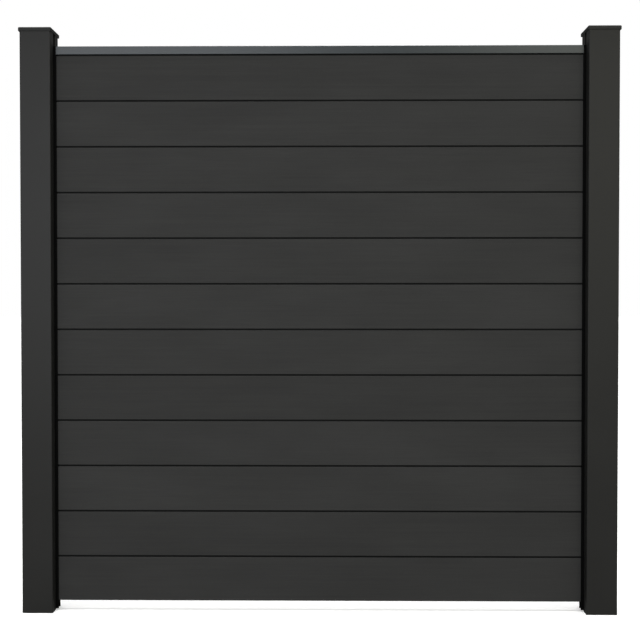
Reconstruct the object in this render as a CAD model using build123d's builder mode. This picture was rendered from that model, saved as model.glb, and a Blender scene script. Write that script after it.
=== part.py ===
from build123d import *
import os

os.makedirs("parts", exist_ok=True)

# A composite fence panel: twelve hollow tongue-and-groove boards stacked between two slotted
# aluminium posts, with a metal rail along the top board and a flat cap on each post.
# Lengths are millimetres. X runs along the fence, -Y is the front, and the posts stand on z = 0,
# with the origin on the ground, midway between the posts.

# Overall layout
clear_width = 1744.0        # between the inner faces of the two posts
ground_gap = 32.0           # foot of the posts to the underside of the lowest board
post_above_rail = 50.0      # top of the rail to the open end of the post
board_count = 12
board_pitch = 150.0         # one board and the shadow gap under the next

# Board section
board_thickness = 20.0
shadow_gap = 5.5            # open joint that shows between two boards
board_edge_radius = 1.2
tongue_thickness = 8.0
tongue_height = 15.0        # above the board's shoulders
tongue_chamfer = 1.0
groove_clearance = 0.3      # each side of the tongue
groove_lead_in = 0.8
board_wall = 4.5            # front and back walls of the chambers
board_rib = 5.0             # ribs between, over and under the chambers
chamber_count = 4
chamber_chamfer = 1.5

# How the boards sit in the posts
board_engagement = 20.0     # end of a board inside the post's face
expansion_gap = 8.0         # end of a board to the bottom of the slot

# Post extrusion
post_size = 100.0
post_wall = 2.5
post_corner_radius = 3.0
web_wall = 2.0
slot_undercut = 2.0         # pocket behind each lip of the slot
port_bore = 4.2             # screw channels for a base plate
port_wall = 1.9
port_slit = 1.6

# Post cap
cap_overhang = 4.0
cap_height = 12.0
cap_top = 3.0               # plate over the post's end
cap_clearance = 0.4         # skirt to post, each side
cap_corner_radius = 4.0
cap_bevel = 2.2
plug_depth = 20.0
plug_wall = 2.0
plug_clearance = 0.5        # plug to the post's core, each side
plug_chamfer = 1.2

# Top rail
rail_height = 26.0
rail_proud = 2.0            # beyond each face of the boards
rail_wall = 1.8
rail_gap = 5.5              # rail to the shoulders of the top board
rail_end_gap = 8.4          # end of the rail to the post
rail_edge_radius = 1.6
rail_foot_radius = 0.5

# Rubber seals in the slot mouths
seal_thickness = 2.0
seal_reach = 10.0           # lip that shows on the boards beside the post
seal_tip_chamfer = 1.0
seal_stem = 6.0             # behind the lip of the slot
seal_tail = 0.5             # thickness of the stem's far end
seal_barb = 1.4
seal_bead = 1.6             # bead that stops against the post's face
seal_bead_thickness = 1.2
seal_foot_gap = 5.0         # foot of the post to the end of the seal
seal_rail_clearance = 0.4

# Support blocks under the lowest board, and their screws
support_setback = 2.0       # block's face inside the post's face
support_clearance = 0.2     # block to seal, each side
support_chamfer = 1.5
screw_shank = 3.5
screw_head = 7.0
screw_head_height = 2.6
screw_clearance = 0.1       # shank and head to their holes, all round
screw_tip = 0.8             # past the web
recess_width = 1.1
recess_length = 4.0
recess_depth = 1.4

# Covers that close the unused outer slots
cover_thickness = 2.0
cover_clearance = 0.2
cover_leg = 1.4
cover_leg_length = 7.0
cover_barb = 1.4

# Places and sizes that follow
slot_mouth = board_thickness + 2 * seal_thickness
pocket_width = slot_mouth + 2 * slot_undercut
slot_depth = board_engagement + expansion_gap
core_width = post_size - 2 * (slot_depth + web_wall)
core_depth = post_size - 2 * post_wall
inner_face = clear_width / 2
post_centre = inner_face + post_size / 2
board_length = clear_width + 2 * board_engagement
body_height = board_pitch - shadow_gap
groove_width = tongue_thickness + 2 * groove_clearance
groove_depth = tongue_height - shadow_gap
stack_top = ground_gap + board_count * board_pitch
rail_bottom = stack_top - shadow_gap + rail_gap
rail_top = rail_bottom + rail_height
post_length = rail_top + post_above_rail
support_length = slot_depth - support_setback


def save(piece, name):
    piece.part.label = name
    export_step(piece.part, f"parts/{name}.step")


# Boards
# A hollow extrusion: a groove underneath, a tongue on top and a row of chambers between ribs.
# The tongue's tip carries the board above, which leaves the shadow gap open at the faces.
def make_board(bottom, name):
    section_plane = Plane((-board_length / 2, 0, bottom), x_dir=(0, 1, 0), z_dir=(1, 0, 0))
    chamber_width = board_thickness - 2 * board_wall
    chamber_zone = body_height - groove_depth - board_rib
    chamber_pitch = chamber_zone / chamber_count
    with BuildPart() as board:
        with BuildSketch(section_plane) as section:
            with Locations((0, body_height / 2)):
                RectangleRounded(board_thickness, body_height, board_edge_radius)
            with Locations((0, body_height - board_edge_radius)):
                Rectangle(
                    tongue_thickness,
                    tongue_height + board_edge_radius,
                    align=(Align.CENTER, Align.MIN),
                )
            chamfer(section.vertices().group_by(Axis.Y)[-1], tongue_chamfer)
            Rectangle(
                groove_width,
                groove_depth,
                align=(Align.CENTER, Align.MIN),
                mode=Mode.SUBTRACT,
            )
            mouth = section.vertices().group_by(Axis.Y)[0].sort_by(Axis.X)[1:-1]
            chamfer(mouth, groove_lead_in)
        extrude(amount=board_length)
        with BuildSketch(section_plane) as chambers:
            with Locations((0, groove_depth + board_rib / 2 + chamber_zone / 2)):
                with GridLocations(0, chamber_pitch, 1, chamber_count):
                    Rectangle(chamber_width, chamber_pitch - board_rib)
            chamfer(chambers.vertices(), chamber_chamfer)
        extrude(amount=board_length, mode=Mode.SUBTRACT)
    save(board, name)


# Posts
# One hollow extrusion, square outside, with a slot on two opposite sides. Each slot opens into
# a wider pocket, so that seals and covers hook behind its lips. Two webs close the pockets and
# leave a core that is open at the foot. A screw for the support block goes through one web.
def make_post(side, name):
    pocket_centre = (post_size / 2 - post_wall + core_width / 2 + web_wall) / 2
    pocket_depth = slot_depth - post_wall
    corner_inner = pocket_width / 2 + web_wall
    corner_depth = core_depth / 2 - corner_inner
    corner_centre = (core_depth / 2 + corner_inner) / 2
    port_radius = port_bore / 2 + port_wall
    port_x = core_width / 2 + web_wall + port_bore / 2
    with BuildPart() as post:
        with BuildSketch(Plane((side * post_centre, 0, 0))):
            RectangleRounded(post_size, post_size, post_corner_radius)
            Rectangle(core_width, core_depth, mode=Mode.SUBTRACT)
            with GridLocations(2 * pocket_centre, 0, 2, 1):
                Rectangle(pocket_depth, pocket_width, mode=Mode.SUBTRACT)
            with GridLocations(post_size - post_wall, 0, 2, 1):
                Rectangle(post_wall, slot_mouth, mode=Mode.SUBTRACT)
            with GridLocations(2 * pocket_centre, 2 * corner_centre, 2, 2):
                Rectangle(pocket_depth, corner_depth, mode=Mode.SUBTRACT)
            with GridLocations(2 * port_x, 2 * corner_centre, 2, 2):
                Circle(port_radius)
                Circle(port_bore / 2, mode=Mode.SUBTRACT)
            with GridLocations(2 * (port_x + port_radius / 2), 2 * corner_centre, 2, 2):
                Rectangle(port_radius, port_slit, mode=Mode.SUBTRACT)
        extrude(amount=post_length)
        web_face = side * (inner_face + slot_depth)
        with BuildSketch(Plane((web_face, 0, ground_gap / 2), z_dir=(side, 0, 0))):
            Circle(screw_shank / 2 + screw_clearance)
        extrude(amount=web_wall, mode=Mode.SUBTRACT)
    save(post, name)


# Post caps
# A lid with a skirt round the post's end and a hollow plug that grips the core.
def make_cap(side, name):
    top = post_length + cap_top
    centre = side * post_centre
    skirt_size = post_size + 2 * cap_clearance
    outer_size = post_size + 2 * cap_overhang
    plug_width = core_width - 2 * plug_clearance
    plug_length = core_depth - 2 * plug_clearance
    with BuildPart() as cap:
        with BuildSketch(Plane((centre, 0, top))):
            RectangleRounded(outer_size, outer_size, cap_corner_radius)
        extrude(amount=-cap_height)
        chamfer(cap.faces().sort_by(Axis.Z)[-1].edges(), cap_bevel)
        with BuildSketch(Plane((centre, 0, post_length))):
            RectangleRounded(skirt_size, skirt_size, post_corner_radius + cap_clearance)
        extrude(amount=cap_top - cap_height, mode=Mode.SUBTRACT)
        with BuildSketch(Plane((centre, 0, post_length))):
            Rectangle(plug_width, plug_length)
        extrude(amount=-plug_depth)
        chamfer(cap.faces().sort_by(Axis.Z)[0].edges(), plug_chamfer)
        with BuildSketch(Plane((centre, 0, post_length))):
            Rectangle(plug_width - 2 * plug_wall, plug_length - 2 * plug_wall)
        extrude(amount=-plug_depth, mode=Mode.SUBTRACT)
    save(cap, name)


# Top rail
# A hollow cover section. A socket in its underside grips the tongue of the top board.
def make_rail(name):
    rail_width = board_thickness + 2 * rail_proud
    rail_length = clear_width - 2 * rail_end_gap
    socket_depth = tongue_height - rail_gap
    section_plane = Plane((-rail_length / 2, 0, rail_bottom), x_dir=(0, 1, 0), z_dir=(1, 0, 0))
    upright = (Align.CENTER, Align.MIN)
    with BuildPart() as rail:
        with BuildSketch(section_plane) as section:
            Rectangle(rail_width, rail_height, align=upright)
            corners = section.vertices().group_by(Axis.Y)
            fillet(corners[-1], rail_edge_radius)
            fillet(corners[0], rail_foot_radius)
            with Locations((0, rail_wall)):
                Rectangle(
                    rail_width - 2 * rail_wall,
                    rail_height - 2 * rail_wall,
                    align=upright,
                    mode=Mode.SUBTRACT,
                )
            Rectangle(groove_width + 2 * rail_wall, socket_depth + rail_wall, align=upright)
            Rectangle(groove_width, socket_depth, align=upright, mode=Mode.SUBTRACT)
        extrude(amount=rail_length)
    save(rail, name)


# Seals
# A rubber strip pushed into the gap between a board's face and the lip of the slot. Its barb
# hooks behind the lip, its bead stops against the post, and its lip lies on the boards.
# It runs up beside the rail, where the lip is trimmed.
def make_seal(side, face, name):
    def place(out, proud):
        return (side * (inner_face - out), face * (board_thickness / 2 + proud))

    tail = -post_wall - seal_stem
    outline = [
        place(tail, 0),
        place(seal_reach, 0),
        place(seal_reach, seal_thickness - seal_tip_chamfer),
        place(seal_reach - seal_tip_chamfer, seal_thickness),
        place(seal_bead_thickness, seal_thickness),
        place(seal_bead_thickness, seal_thickness + seal_bead),
        place(0, seal_thickness + seal_bead),
        place(0, seal_thickness),
        place(-post_wall, seal_thickness),
        place(-post_wall, seal_thickness + seal_barb),
        place(tail, seal_tail),
    ]
    trimmed_reach = rail_end_gap - seal_rail_clearance
    trim_bottom = rail_bottom - seal_rail_clearance
    with BuildPart() as seal:
        with BuildSketch(Plane.XY.offset(seal_foot_gap)):
            with BuildLine():
                Polyline(*outline, close=True)
            make_face()
        extrude(amount=rail_top - seal_foot_gap)
        with BuildSketch(Plane.XY.offset(trim_bottom)):
            with BuildLine():
                Polyline(
                    place(trimmed_reach, 0),
                    place(seal_reach, 0),
                    place(seal_reach, seal_thickness),
                    place(trimmed_reach, seal_thickness),
                    close=True,
                )
            make_face()
        extrude(amount=rail_top - trim_bottom, mode=Mode.SUBTRACT)
    save(seal, name)


# Support blocks
# A plastic block at the foot of each inner slot, screwed to the web, carries the lowest board.
def make_support(side, name):
    face_x = side * (inner_face + support_setback)
    block_width = board_thickness - 2 * support_clearance
    front = Plane((face_x, 0, ground_gap / 2), x_dir=(0, 0, 1), z_dir=(-side, 0, 0))
    with BuildPart() as block:
        with BuildSketch(front):
            Rectangle(ground_gap, block_width)
        extrude(amount=-support_length)
        uprights = block.edges().filter_by(Axis.Z).sort_by(Axis.X)
        chamfer(uprights[:2] if side > 0 else uprights[-2:], support_chamfer)
        with Locations(front):
            CounterBoreHole(
                screw_shank / 2 + screw_clearance,
                screw_head / 2 + screw_clearance,
                screw_head_height,
            )
    save(block, name)


# Support screws
# A pan-head screw, flush with the block's face, with a cross recess.
def make_screw(side, name):
    head_plane = Plane((side * (inner_face + support_setback), 0, ground_gap / 2), z_dir=(side, 0, 0))
    length = support_length + web_wall + screw_tip
    with BuildPart() as screw:
        with BuildSketch(head_plane):
            Circle(screw_head / 2)
        extrude(amount=screw_head_height)
        with BuildSketch(head_plane):
            Circle(screw_shank / 2)
        extrude(amount=length)
        with BuildSketch(head_plane):
            Rectangle(recess_length, recess_width)
            Rectangle(recess_width, recess_length)
        extrude(amount=recess_depth, mode=Mode.SUBTRACT)
    save(screw, name)


# Slot covers
# A strip snapped into the outer slot of each post. Two barbed legs hook behind the lips.
def make_cover(side, name):
    outer_face = inner_face + post_size
    half_width = slot_mouth / 2 - cover_clearance

    def place(depth, across):
        return (side * (outer_face - depth), across)

    behind_lip = post_wall + cover_clearance
    with BuildPart() as cover:
        with BuildSketch():
            with BuildLine():
                Polyline(
                    place(0, 0),
                    place(0, half_width),
                    place(behind_lip, half_width),
                    place(behind_lip, half_width + cover_barb),
                    place(cover_leg_length, half_width - cover_leg / 2),
                    place(cover_leg_length, half_width - cover_leg),
                    place(cover_thickness, half_width - cover_leg),
                    place(cover_thickness, 0),
                    close=True,
                )
            make_face()
            mirror(about=Plane.XZ)
        extrude(amount=post_length)
    save(cover, name)


for number in range(board_count):
    make_board(ground_gap + number * board_pitch, f"board_{number + 1:02d}")

make_rail("top_rail")

for side, hand in ((-1, "left"), (1, "right")):
    make_post(side, f"{hand}_post")
    make_cap(side, f"{hand}_post_cap")
    make_cover(side, f"{hand}_slot_cover")
    make_support(side, f"{hand}_board_support")
    make_screw(side, f"{hand}_support_screw")
    for face, facing in ((-1, "front"), (1, "back")):
        make_seal(side, face, f"{hand}_{facing}_seal")
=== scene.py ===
# %% [markdown]
# # A composite fence panel
# Twelve hollow boards of wood-plastic composite are stacked between two slotted aluminium posts.
# A metal rail covers the top board, and each post carries a flat cap. The solids already hold every
# piece at its real size and place, down to the seals in the slots, so nothing is modelled again
# here. This lesson is about finish: what each surface is made of, how it was made, and what that
# does to light. Lengths are metres, X runs along the fence, and the front faces -Y.

# %% Load the frame
from math import degrees, radians

import bpy
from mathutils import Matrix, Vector


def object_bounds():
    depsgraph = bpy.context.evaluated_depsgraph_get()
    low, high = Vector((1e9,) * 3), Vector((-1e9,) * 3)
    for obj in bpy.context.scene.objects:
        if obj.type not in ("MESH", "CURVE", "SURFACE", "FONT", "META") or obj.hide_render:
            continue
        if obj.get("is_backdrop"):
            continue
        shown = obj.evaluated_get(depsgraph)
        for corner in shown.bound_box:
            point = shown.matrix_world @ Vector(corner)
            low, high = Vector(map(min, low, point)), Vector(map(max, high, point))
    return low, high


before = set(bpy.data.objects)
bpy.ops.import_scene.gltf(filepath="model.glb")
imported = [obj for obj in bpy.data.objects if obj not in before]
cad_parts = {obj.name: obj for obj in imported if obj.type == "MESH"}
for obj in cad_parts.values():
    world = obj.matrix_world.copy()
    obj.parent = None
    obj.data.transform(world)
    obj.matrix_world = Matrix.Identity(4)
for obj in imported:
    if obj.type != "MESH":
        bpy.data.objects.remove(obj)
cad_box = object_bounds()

print("pieces in the frame:", len(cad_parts))
print("box of the solids:", [tuple(round(v, 4) for v in corner) for corner in cad_box])

# %% [markdown]
# ## Colours and nodes
# A swatch is read as an sRGB hex value, as a paint chart gives it, but shaders add and multiply
# light, which needs linear values. One function does that step. A second one adds a node with its
# settings and its links, so that a material below reads from its first node to its last. The mouse
# would do the same in the shader editor, but a script can be read again and changed by one number.

# %% Colour and node helpers
MM = 0.001
FIRST, SECOND = 0, 1            # a Math node's inputs, which share one name
FACTOR, MIX_A, MIX_B = 0, 6, 7  # a Mix node's inputs in its colour mode
MIXED = 2                       # and its output
SHADER_A, SHADER_B = 1, 2       # a Mix Shader's inputs, which share one name


def linear(hex_colour):
    """An sRGB hex value as linear red, green, blue and alpha."""
    shares = [int(hex_colour[i:i + 2], 16) / 255 for i in (1, 3, 5)]
    return [s / 12.92 if s <= 0.04045 else ((s + 0.055) / 1.055) ** 2.4 for s in shares] + [1.0]


def add(tree, kind, settings, inputs):
    """A new node. An input is given a value, or another node's output to link to."""
    node = tree.nodes.new("ShaderNode" + kind)
    for name, value in settings.items():
        setattr(node, name, value)
    for name, value in inputs.items():
        if isinstance(value, bpy.types.NodeSocket):
            tree.links.new(value, node.inputs[name])
        else:
            node.inputs[name].default_value = value
    return node


def new_material(name):
    """An empty material, its node tree and the place that its patterns are read from."""
    material = bpy.data.materials.new(name)
    material.use_nodes = True
    tree = material.node_tree
    tree.nodes.clear()
    return material, tree, add(tree, "TexCoord", {}, {}).outputs["Object"]


def finish_material(tree, inputs):
    """The surface shader with these inputs, and the output."""
    surface = add(tree, "BsdfPrincipled", {}, inputs)
    add(tree, "OutputMaterial", {}, {"Surface": surface.outputs["BSDF"]})
    print("finished", tree.id_data.name, "with", len(tree.nodes), "nodes")


print("charcoal #363737 is linear", [round(v, 4) for v in linear("#363737")])

# %% [markdown]
# ## Composite boards: the brushed grain
# The boards are wood flour in polyethylene, pushed through a heated die and then brushed with steel
# wire along their length. That takes off the shine of the die and leaves fine streaks that run with
# the board. The streaks could be painted as an image, but noise that is stretched along X has no
# seams and fits any length. To the eye a board is matt and nearly even, and only close up does it
# show streaks, wider pale bands and a few flecks of wood.

# %% Streaks, bands and flecks of the boards
# A real streak is about 0.4 mm wide and a grain of flour 0.3 mm, which the render can't show, so
# streaks are drawn 1.2 mm wide and flecks 0.9 mm.
streak_length, streak_width = 90 * MM, 1.2 * MM
band_length, band_width = 700 * MM, 9 * MM
fleck_length, fleck_width = 4 * MM, 0.9 * MM

composite, tree, place = new_material("brushed_wood_plastic_composite")
streak_place = add(tree, "Mapping", {}, {
    "Vector": place, "Scale": (1 / streak_length, 1 / streak_width, 1 / streak_width)})
streaks = add(tree, "TexNoise", {}, {
    "Vector": streak_place.outputs[0], "Scale": 1.0, "Detail": 3.0, "Roughness": 0.6})
band_place = add(tree, "Mapping", {}, {
    "Vector": place, "Scale": (1 / band_length, 1 / band_width, 1 / band_width)})
bands = add(tree, "TexNoise", {}, {
    "Vector": band_place.outputs[0], "Scale": 1.0, "Detail": 4.0, "Roughness": 0.55})
fleck_place = add(tree, "Mapping", {}, {
    "Vector": place, "Scale": (1 / fleck_length, 1 / fleck_width, 1 / fleck_width)})
flecks = add(tree, "TexNoise", {}, {
    "Vector": fleck_place.outputs[0], "Scale": 1.0, "Detail": 1.0})
print("a streak is", round(streak_length / streak_width), "times as long as it is wide")

# %% [markdown]
# ## Composite boards: a shade for each
# The colour goes all the way through a board, but each batch of wood flour takes it a little
# differently, so neighbours differ by a shade. Twelve materials would do that too. One is enough,
# because a point's height says which board it is on, and white noise turns that number into a share
# between two greys.

# %% Shade of each board
board_pitch = 150 * MM
first_board = 32 * MM  # above the ground
dark_batch, pale_batch = "#3b3b3b", "#3f3f3f"

height = add(tree, "SeparateXYZ", {}, {"Vector": place}).outputs["Z"]
above_first = add(tree, "Math", {"operation": "SUBTRACT"}, {FIRST: height, SECOND: first_board})
course = add(tree, "Math", {"operation": "DIVIDE"}, {
    FIRST: above_first.outputs[0], SECOND: board_pitch})
number = add(tree, "Math", {"operation": "FLOOR"}, {FIRST: course.outputs[0]})
batch = add(tree, "TexWhiteNoise", {"noise_dimensions": "1D"}, {"W": number.outputs[0]})
body = add(tree, "Mix", {"data_type": "RGBA"}, {
    FACTOR: batch.outputs["Value"], MIX_A: linear(dark_batch), MIX_B: linear(pale_batch)})
print("a board's own grey lies between", dark_batch, "and", pale_batch)

# %% [markdown]
# ## Composite boards: soft patches
# The brush doesn't bite evenly. It goes deeper for an arm's length and leaves the board a shade
# darker there, and then it lets go. Such patches could be painted by hand, but only for one board
# at a time. Noise of that size does it for all twelve. It is four-dimensional, and a board's number
# is its fourth place, so that a patch ends where its board does.

# %% Patches along a board
patch_length, patch_width = 420 * MM, 130 * MM
patch_strength, patch_colour = 0.32, "#2c2c2c"

patch_place = add(tree, "Mapping", {}, {
    "Vector": place, "Scale": (1 / patch_length, 1 / patch_width, 1 / patch_width)})
patches = add(tree, "TexNoise", {"noise_dimensions": "4D"}, {
    "Vector": patch_place.outputs[0], "W": number.outputs[0],
    "Scale": 1.0, "Detail": 2.0, "Roughness": 0.5})
patch_share = add(tree, "MapRange", {}, {
    "Value": patches.outputs["Fac"], "From Min": 0.35, "From Max": 0.65,
    "To Max": patch_strength})
patched = add(tree, "Mix", {"data_type": "RGBA"}, {
    FACTOR: patch_share.outputs[0], MIX_A: body.outputs[MIXED], MIX_B: linear(patch_colour)})
print("a patch is about", round(patch_length / MM), "mm long")

# %% [markdown]
# ## Composite boards: colour of a face
# A brushed face shows dark streaks where the wires went deepest, wider pale bands where they only
# rubbed, and flecks of wood flour that they laid open. One picture could hold all three, but then
# none could be changed alone. So each pattern is a share between the colour so far and its own,
# one after the other, as thin coats of paint would be.

# %% Colour of the brushed faces
streak_strength, streak_colour = 0.35, "#303030"
band_strength, band_colour = 0.3, "#424240"
fleck_strength, fleck_colour = 0.25, "#5c5c58"

streak_share = add(tree, "MapRange", {}, {
    "Value": streaks.outputs["Fac"], "From Min": 0.3, "From Max": 0.7,
    "To Max": streak_strength})
streaked = add(tree, "Mix", {"data_type": "RGBA"}, {
    FACTOR: streak_share.outputs[0], MIX_A: patched.outputs[MIXED], MIX_B: linear(streak_colour)})
band_share = add(tree, "MapRange", {}, {
    "Value": bands.outputs["Fac"], "From Min": 0.4, "From Max": 0.75, "To Max": band_strength})
banded = add(tree, "Mix", {"data_type": "RGBA"}, {
    FACTOR: band_share.outputs[0], MIX_A: streaked.outputs[MIXED], MIX_B: linear(band_colour)})
fleck_share = add(tree, "MapRange", {}, {
    "Value": flecks.outputs["Fac"], "From Min": 0.66, "From Max": 0.76,
    "To Max": fleck_strength})
flecked = add(tree, "Mix", {"data_type": "RGBA"}, {
    FACTOR: fleck_share.outputs[0], MIX_A: banded.outputs[MIXED], MIX_B: linear(fleck_colour)})
print("a streak takes up to", streak_strength, "of its dark colour, a band", band_strength)

# %% [markdown]
# ## Composite boards: dark joints
# Only the two faces of a board are brushed. The tongue and the shoulders beside it keep the dark
# skin that the die gave them, and their colour is drawn darker still, as painted shade for the
# deep shade inside each open joint, so that each joint is a dark line. A second material on those
# faces would need them picked out by hand. Their depth behind the face does it instead.

# %% Die skin and painted shade in the joints
half_board = 10 * MM
shaded_skin_depth, brushed_depth = 8.6 * MM, 9.4 * MM  # from the middle of the board
# the die's dark skin, drawn darker still as painted shade inside the joints
shaded_skin_colour = "#121313"

across = add(tree, "SeparateXYZ", {}, {"Vector": place}).outputs["Y"]
depth = add(tree, "Math", {"operation": "ABSOLUTE"}, {FIRST: across})
brushed_share = add(tree, "MapRange", {}, {
    "Value": depth.outputs[0], "From Min": shaded_skin_depth, "From Max": brushed_depth})
faces_and_joints = add(tree, "Mix", {"data_type": "RGBA"}, {
    FACTOR: brushed_share.outputs[0], MIX_A: linear(shaded_skin_colour), MIX_B: flecked.outputs[MIXED]})
print("the skin starts", round((half_board - brushed_depth) / MM, 1), "mm behind a face")

# %% [markdown]
# ## Composite boards: gloss and relief
# Under a finger a brushed board is finely ribbed, and its ribs are dull and less dull by turns.
# Ribs a tenth of a millimetre deep could be cut into the mesh, but they would take millions of
# faces and leave the outline as it is. The streaks drive the roughness and a bump instead, so
# colour, gloss and relief agree. Composite has little shine, so its specular level is low.

# %% Gloss and relief of the boards
rib_depth = 0.12 * MM
least_rough, most_rough = 0.56, 0.7

roughness = add(tree, "MapRange", {}, {
    "Value": streaks.outputs["Fac"], "From Min": 0.3, "From Max": 0.7,
    "To Min": least_rough, "To Max": most_rough})
relief = add(tree, "Bump", {}, {
    "Height": streaks.outputs["Fac"], "Distance": rib_depth, "Strength": 0.6})
finish_material(tree, {
    "Base Color": faces_and_joints.outputs[MIXED], "Roughness": roughness.outputs[0],
    "Normal": relief.outputs[0], "Specular IOR Level": 0.12, "IOR": 1.5})

# %% [markdown]
# ## Powder coat on the posts
# The posts are extruded aluminium with a polyester powder coat, baked at 200 degrees. The powder
# flows out into a skin with a soft orange peel, about 2 mm from crest to crest, and a matting agent
# gives it a satin gloss. It is a plastic layer, so it is not metallic. The peel could be real
# displacement, but it is 0.05 mm deep. A bump bends the highlight just as well and leaves the
# outline straight.

# %% Material of the posts, covers and caps
# Satin powder coat: to the eye it is an even, slightly soft charcoal with a broad, dim highlight
# that is paler towards the light. The grain of the matting agent is 0.05 mm, too fine to show, so
# it is drawn at 0.7 mm.
peel_pitch, peel_depth = 2.0 * MM, 0.05 * MM
cloud_size, gloss_drift = 160 * MM, 0.04
grain_size, grain_strength, grain_colour = 0.7 * MM, 0.22, "#171716"


def powder_coat(name, colour, pale, roughness):
    """A satin powder coat whose colour drifts softly between two tones."""
    material, tree, place = new_material(name)
    peel = add(tree, "TexNoise", {}, {
        "Vector": place, "Scale": 1 / peel_pitch, "Detail": 2.0, "Roughness": 0.5})
    cloud = add(tree, "TexNoise", {}, {
        "Vector": place, "Scale": 1 / cloud_size, "Detail": 3.0, "Roughness": 0.5})
    grain = add(tree, "TexNoise", {}, {
        "Vector": place, "Scale": 1 / grain_size, "Detail": 1.0})
    cloudy = add(tree, "Mix", {"data_type": "RGBA"}, {
        FACTOR: cloud.outputs["Fac"], MIX_A: linear(colour), MIX_B: linear(pale)})
    grain_share = add(tree, "MapRange", {}, {
        "Value": grain.outputs["Fac"], "From Min": 0.45, "From Max": 0.7,
        "To Max": grain_strength})
    grained = add(tree, "Mix", {"data_type": "RGBA"}, {
        FACTOR: grain_share.outputs[0], MIX_A: cloudy.outputs[MIXED], MIX_B: linear(grain_colour)})
    gloss = add(tree, "MapRange", {}, {
        "Value": cloud.outputs["Fac"],
        "To Min": roughness - gloss_drift, "To Max": roughness + gloss_drift})
    relief = add(tree, "Bump", {}, {
        "Height": peel.outputs["Fac"], "Distance": peel_depth, "Strength": 0.5})
    finish_material(tree, {
        "Base Color": grained.outputs[MIXED], "Roughness": gloss.outputs[0],
        "Normal": relief.outputs[0], "Specular IOR Level": 0.21, "IOR": 1.5})
    return material


post_coat = powder_coat("satin_powder_coat", "#272726", "#2b2b2a", 0.42)
cap_coat = powder_coat("cap_powder_coat", "#202120", "#252625", 0.42)

# %% [markdown]
# ## The top rail
# The rail is aluminium in a lighter grey satin coat. It was pushed through its die and lightly
# brushed before it was coated, so long hairlines show through. They could be cut into the mesh, but
# they are a few hundredths of a millimetre deep. So they are noise like the boards' streaks, only
# stretched far more.

# %% Material of the rail
# Satin-coated aluminium: to the eye it is the one bright piece, a narrow band that shines where it
# mirrors the light and goes dull along its length. A real hairline is 0.1 mm wide. It is drawn at
# 0.8 mm so that it shows.
line_length, line_width, line_depth = 400 * MM, 0.8 * MM, 0.03 * MM

rail_coat, tree, place = new_material("satin_coated_aluminium")
line_place = add(tree, "Mapping", {}, {
    "Vector": place, "Scale": (1 / line_length, 1 / line_width, 1 / line_width)})
lines = add(tree, "TexNoise", {}, {
    "Vector": line_place.outputs[0], "Scale": 1.0, "Detail": 3.0, "Roughness": 0.6})
shade = add(tree, "Mix", {"data_type": "RGBA"}, {
    FACTOR: lines.outputs["Fac"], MIX_A: linear("#262c30"), MIX_B: linear("#2e373b")})
gloss = add(tree, "MapRange", {}, {
    "Value": lines.outputs["Fac"], "To Min": 0.24, "To Max": 0.34})
relief = add(tree, "Bump", {}, {
    "Height": lines.outputs["Fac"], "Distance": line_depth, "Strength": 0.4})
finish_material(tree, {
    "Base Color": shade.outputs[MIXED], "Roughness": gloss.outputs[0],
    "Normal": relief.outputs[0], "Specular IOR Level": 0.5, "IOR": 1.5})

# %% [markdown]
# ## Rubber and nylon
# The seals are EPDM rubber, extruded and cured in hot air. It comes out dull and nearly black, with
# a faint bloom of wax, and here its colour is drawn darker still, as painted shade for the deep
# shade in the mouths of the post slots. The support blocks under the lowest board are moulded
# nylon. Both are dark polymers with a cloudy gloss and a fine skin, and only their numbers differ,
# so one function makes the two.

# %% Materials of the seals and blocks
# Rubber gives the eye a black band with no highlight, its colour partly painted shade of the slot
# mouths. Nylon is as dark and has a soft one.
bloom_size, bloom_gloss, skin_relief = 25 * MM, 0.06, 0.04 * MM


def dull_polymer(name, colour, pale, roughness, skin_grain, shine):
    """A dark polymer with a cloudy gloss, and a skin as fine as its mould or die left it."""
    material, tree, place = new_material(name)
    bloom = add(tree, "TexNoise", {}, {
        "Vector": place, "Scale": 1 / bloom_size, "Detail": 4.0})
    skin = add(tree, "TexNoise", {}, {
        "Vector": place, "Scale": 1 / skin_grain, "Detail": 2.0})
    shade = add(tree, "Mix", {"data_type": "RGBA"}, {
        FACTOR: bloom.outputs["Fac"], MIX_A: linear(colour), MIX_B: linear(pale)})
    gloss = add(tree, "MapRange", {}, {
        "Value": bloom.outputs["Fac"],
        "To Min": roughness - bloom_gloss, "To Max": roughness + bloom_gloss})
    relief = add(tree, "Bump", {}, {
        "Height": skin.outputs["Fac"], "Distance": skin_relief, "Strength": 0.5})
    finish_material(tree, {
        "Base Color": shade.outputs[MIXED], "Roughness": gloss.outputs[0],
        "Normal": relief.outputs[0], "Specular IOR Level": shine, "IOR": 1.5})
    return material


# the seals' near-black is darker than rubber, as painted shade of the slot mouths
black_rubber_as_painted_shade = dull_polymer("epdm_rubber_darkened_as_painted_shade", "#050505", "#090909", 0.8, 0.8 * MM, 0.08)
nylon = dull_polymer("moulded_nylon", "#141414", "#1b1b1b", 0.5, 0.5 * MM, 0.4)

# %% [markdown]
# ## Steel screws
# The screws are stainless steel wire, headed and then rolled between plates, and the tool leaves
# fine rings round them. They lie along X, so noise that is short along X and long across it draws
# rings without a texture map. It is bare metal, so it is metallic and keeps the default IOR.

# %% Material of the screws
# Stainless steel gives the eye a bright, slightly blurred mirror. Its rings are 0.05 mm apart and
# are drawn at 0.2 mm.
ring_pitch, ring_reach, ring_depth = 0.2 * MM, 6 * MM, 0.01 * MM

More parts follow.
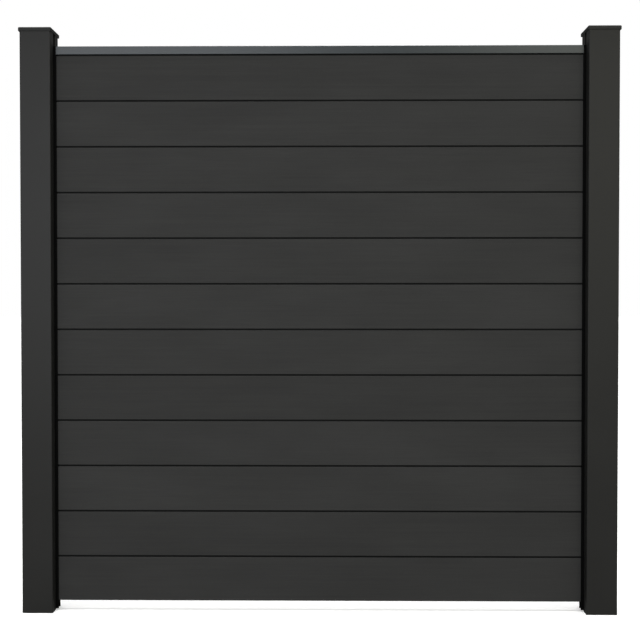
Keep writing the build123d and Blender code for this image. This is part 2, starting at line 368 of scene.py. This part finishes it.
steel, tree, place = new_material("stainless_steel")
ring_place = add(tree, "Mapping", {}, {
    "Vector": place, "Scale": (1 / ring_pitch, 1 / ring_reach, 1 / ring_reach)})
rings = add(tree, "TexNoise", {}, {
    "Vector": ring_place.outputs[0], "Scale": 1.0, "Detail": 2.0})
shade = add(tree, "Mix", {"data_type": "RGBA"}, {
    FACTOR: rings.outputs["Fac"], MIX_A: linear("#a9aaab"), MIX_B: linear("#c6c8ca")})
gloss = add(tree, "MapRange", {}, {
    "Value": rings.outputs["Fac"], "To Min": 0.22, "To Max": 0.36})
relief = add(tree, "Bump", {}, {
    "Height": rings.outputs["Fac"], "Distance": ring_depth, "Strength": 0.5})
finish_material(tree, {
    "Base Color": shade.outputs[MIXED], "Metallic": 1.0, "Roughness": gloss.outputs[0],
    "Normal": relief.outputs[0]})

# %% [markdown]
# ## Dressing the pieces
# Each piece of the frame keeps its mesh and takes one of the finishes above. A piece is named for
# what it is, and the last word of its name says which finish it gets, so a table of seven words
# does what a list of 27 pieces would.

# %% Give each piece its finish
finishes = {
    "post": post_coat,
    "cover": post_coat,
    "cap": cap_coat,
    "rail": rail_coat,
    "seal": black_rubber_as_painted_shade,
    "support": nylon,
    "screw": steel,
}

for name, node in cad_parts.items():
    finish = composite if name.startswith("board_") else finishes[name.split("_")[-1]]
    node.data.materials.clear()
    node.data.materials.append(finish)
    print(name, "wears", finish.name)

# %% [markdown]
# ## Floor
# The fence stands on a plain pale floor. A floor that is white in every way would also throw white
# light up at the posts, and their feet would look too bright, because grey paving doesn't. So the
# camera sees the pale floor, and every other ray meets grey paving. One Mix Shader chooses between
# the two by the kind of ray. It could be two planes with different visibility, but they would have
# to lie in the same place.

# %% Floor
floor_side = 120
dust_size = 330 * MM
floor_glow = 0.33

bpy.ops.object.select_all(action="DESELECT")
bpy.ops.mesh.primitive_plane_add(size=floor_side, location=(0, 0, 0))
floor = bpy.context.object
floor.name = "floor"

floor_finish, tree, place = new_material("pale_floor")
dust = add(tree, "TexNoise", {}, {"Vector": place, "Scale": 1 / dust_size, "Detail": 3.0})
shade = add(tree, "Mix", {"data_type": "RGBA"}, {
    FACTOR: dust.outputs["Fac"], MIX_A: linear("#e8e8e7"), MIX_B: linear("#ececeb")})
pale = add(tree, "BsdfPrincipled", {}, {
    "Base Color": shade.outputs[MIXED], "Roughness": 0.9, "Specular IOR Level": 0.1,
    "Emission Color": linear("#ffffff"), "Emission Strength": floor_glow})
paving = add(tree, "BsdfPrincipled", {}, {
    "Base Color": linear("#8a8a88"), "Roughness": 0.9, "Specular IOR Level": 0.1})
ray = add(tree, "LightPath", {}, {})
both = add(tree, "MixShader", {}, {
    "Fac": ray.outputs["Is Camera Ray"], SHADER_A: paving.outputs[0], SHADER_B: pale.outputs[0]})
add(tree, "OutputMaterial", {}, {"Surface": both.outputs[0]})
floor.data.materials.append(floor_finish)
floor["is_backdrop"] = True
print("floor", round(floor.dimensions.x), "m square")

# %% [markdown]
# ## The sky
# The light is that of a bright, slightly cloudy day. A photographed sky could give it, but that
# would be one more file and hard to tune, so the sky here is weak and even. The posts' inner sides
# are seen at a flat angle, where even a dull coat mirrors, and in a garden they would mirror the
# hedge behind the fence. A dark sheet could stand there, but it would be in the picture. Instead
# the sky itself is dark low behind the fence, and the camera sees plain white all round.

# %% Sky
open_sky, dark_hedge = 0.3, 0.03
hedge_solid, hedge_ends = 0.3, 0.6    # how far a ray rises, from 0 for level to 1 for straight up
hedge_starts, hedge_full = 0.1, 0.5   # how far it goes to the back, on the same scale

scene = bpy.context.scene
scene.view_settings.view_transform = "Standard"
world = bpy.data.worlds.new("studio")
scene.world = world
world.use_nodes = True
tree = world.node_tree
tree.nodes.clear()

direction = add(tree, "TexCoord", {}, {}).outputs["Object"]  # in a sky, where a ray is going
toward = add(tree, "SeparateXYZ", {}, {"Vector": direction})
low = add(tree, "MapRange", {"interpolation_type": "SMOOTHSTEP"}, {
    "Value": toward.outputs["Z"], "From Min": hedge_solid, "From Max": hedge_ends,
    "To Min": 1.0, "To Max": 0.0})
behind = add(tree, "MapRange", {"interpolation_type": "SMOOTHSTEP"}, {
    "Value": toward.outputs["Y"], "From Min": hedge_starts, "From Max": hedge_full})
hedge = add(tree, "Math", {"operation": "MULTIPLY"}, {
    FIRST: low.outputs[0], SECOND: behind.outputs[0]})
strength = add(tree, "MapRange", {}, {
    "Value": hedge.outputs[0], "To Min": open_sky, "To Max": dark_hedge})
lit = add(tree, "Background", {}, {
    "Color": linear("#ffffff"), "Strength": strength.outputs[0]})

ray = add(tree, "LightPath", {}, {})
seen = add(tree, "Background", {}, {"Color": linear("#ffffff"), "Strength": 1.0})
both = add(tree, "MixShader", {}, {
    "Fac": ray.outputs["Is Camera Ray"], SHADER_A: lit.outputs[0], SHADER_B: seen.outputs[0]})
add(tree, "OutputWorld", {}, {"Surface": both.outputs[0]})
print("the sky lights with strength", open_sky, "and the hedge with", dark_hedge)

# %% [markdown]
# ## The lamps
# The light comes mostly from above, and from the front left more than from the right, so the left
# end of the rail shines and the feet of the posts are darker. Point lamps would do that with hard
# glints. A broad sun overhead and five square lamps do it softly, because a coat mirrors their
# whole face. Two stand in front, one hangs high behind, and two stand low behind at the sides, so
# that the back can be seen as well. None stands where a post's inner side would mirror it.

# %% Lamps


def lamp(kind, name, place, aim, energy, size, colour="#ffffff"):
    """A lamp at a place, turned towards the point that it is aimed at."""
    data = bpy.data.lights.new(name, kind)
    data.energy = energy
    data.color = linear(colour)[:3]
    if kind == "SUN":
        data.angle = size
    else:
        data.shape = "SQUARE"
        data.size = size
    thing = bpy.data.objects.new(name, data)
    thing.location = place
    thing.rotation_euler = (Vector(aim) - Vector(place)).to_track_quat("-Z", "Y").to_euler()
    scene.collection.objects.link(thing)
    print("lamp", name, "with energy", energy)


lamp("SUN", "overhead", place=(0, -0.2, 5.0), aim=(0, 0, 0), energy=2.9, size=radians(12))
lamp("AREA", "front_left_softbox", place=(-1.6, -5.2, 1.9), aim=(0, 0, 0.9),
     energy=92, size=3.0, colour="#f9fbff")
lamp("AREA", "front_right_softbox", place=(2.5, -4.8, 2.5), aim=(-0.4, 0, 1.0),
     energy=58, size=3.0, colour="#fffeed")
lamp("AREA", "high_back_softbox", place=(0.4, 1.8, 4.6), aim=(0, 0.1, 0.8), energy=30, size=2.0)
for side, x in (("left", -3.4), ("right", 3.4)):
    lamp("AREA", f"back_{side}_softbox", place=(x, 3.4, 1.5), aim=(0, 0, 0.9), energy=55, size=1.6)

# %% [markdown]
# ## Camera
# The camera stands where the photograph was taken from, three and a half metres in front of the
# fence and a little above its middle. It could be placed by eye. Here its place, its lens and its
# slight tilt come from a fit of the straight edges of posts, boards and caps, so each edge falls
# within about a pixel of where it is in the photograph. There is no shift and no depth of field.

# %% Camera
lens_mm = 59.6
camera_place = (0.0449, -3.4927, 1.0268)
degrees_down, degrees_left = 1.091, 0.684

camera_data = bpy.data.cameras.new("camera")
camera_data.lens = lens_mm
camera = bpy.data.objects.new("camera", camera_data)
camera.location = camera_place
camera.rotation_euler = (radians(90 - degrees_down), 0, radians(degrees_left))
scene.collection.objects.link(camera)
scene.camera = camera
print("the camera sees", round(degrees(camera_data.angle), 1), "degrees across")

# %% [markdown]
# ## Sizes and the end
# Finish must not change size. The box of the solids was kept right after they were loaded, and the
# last line prints how far the box of the dressed fence lies from it.

# %% Sizes and the end
dressed_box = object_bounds()
growth = max(abs(a - b) for ours, cad in zip(dressed_box, cad_box) for a, b in zip(ours, cad))
print("the finish moves the box by", round(growth / MM, 3), "mm")
